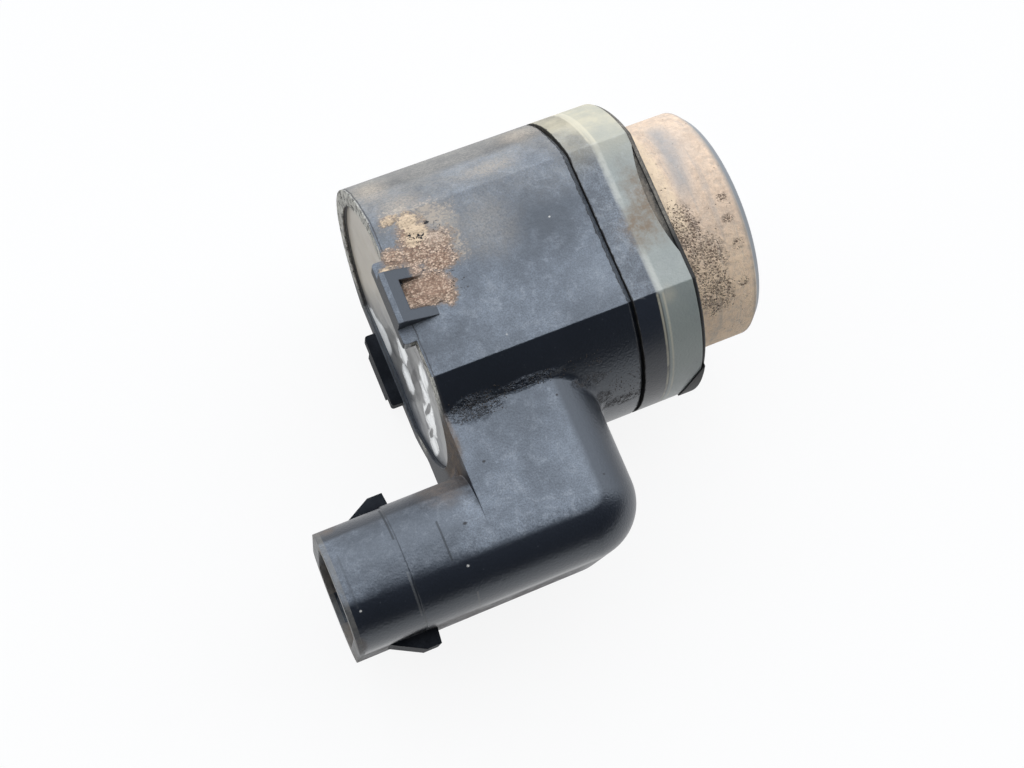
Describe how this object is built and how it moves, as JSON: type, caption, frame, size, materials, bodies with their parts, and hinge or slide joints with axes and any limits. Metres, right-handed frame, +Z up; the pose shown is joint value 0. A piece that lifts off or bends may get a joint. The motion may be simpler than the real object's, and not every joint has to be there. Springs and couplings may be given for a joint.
{
  "type": "parking sensor",
  "caption": "Ultrasonic parking sensor: black housing with elbow connector socket, translucent front collar and a dusty aluminium membrane cup on a silicone ring.",
  "frame": {"origin": "on the sensor axis, at the middle of the membrane's outer face", "axes": "+X out of the membrane along the sensing direction, +Z up, square to the upper flat; the connector arm reaches out along -Y and its mouth faces -X"},
  "size_m": [0.0383, 0.0349, 0.0238],
  "materials": {
    "housing_plastic": "satin black glass-filled moulding with grey sheen, dust and soil",
    "collar_plastic": "translucent greenish-grey moulding with a pale weld line",
    "ring_silicone": "matt black silicone",
    "cup_aluminium": "aluminium under tan dried dust",
    "potting_resin": "glossy cream resin",
    "piezo_ceramic": "sintered ceramic with silver faces",
    "damping_felt": "pressed felt",
    "fill_silicone": "soft silicone foam",
    "carrier_plastic": "black moulding",
    "contact_metal": "tinned",
    "lead_copper": "copper foil strip",
    "board_laminate": "green solder mask over glass laminate",
    "chip_plastic": "moulded chip package",
    "core_ferrite": "dark grey ferrite",
    "capacitor_resin": "moulded resin",
    "chip_ceramic": "fired ceramic",
    "resistor_ceramic": "fired ceramic with dark glaze",
    "terminal_metal": "tinned brass"
  },
  "bodies": {
    "root": {"housing": "housing_plastic", "front_collar": "collar_plastic", "decoupling_ring": "ring_silicone", "membrane_cup": "cup_aluminium", "potting_compound": "potting_resin", "piezo_disc": "piezo_ceramic", "damping_disc": "damping_felt", "cup_fill": "fill_silicone", "contact_carrier": "carrier_plastic", "contact_pin_live": "contact_metal", "contact_pin_ground": "contact_metal", "lead_live": "lead_copper", "lead_ground": "lead_copper", "circuit_board": "board_laminate", "control_chip": "chip_plastic", "transformer_core": "core_ferrite", "transformer_winding": "lead_copper", "storage_capacitor": "capacitor_resin", "protection_diode": "chip_plastic", "chip_capacitors": "chip_ceramic", "chip_resistors": "resistor_ceramic", "terminal_lower": "terminal_metal", "terminal_middle": "terminal_metal", "terminal_upper": "terminal_metal"}
  },
  "joints": []
}
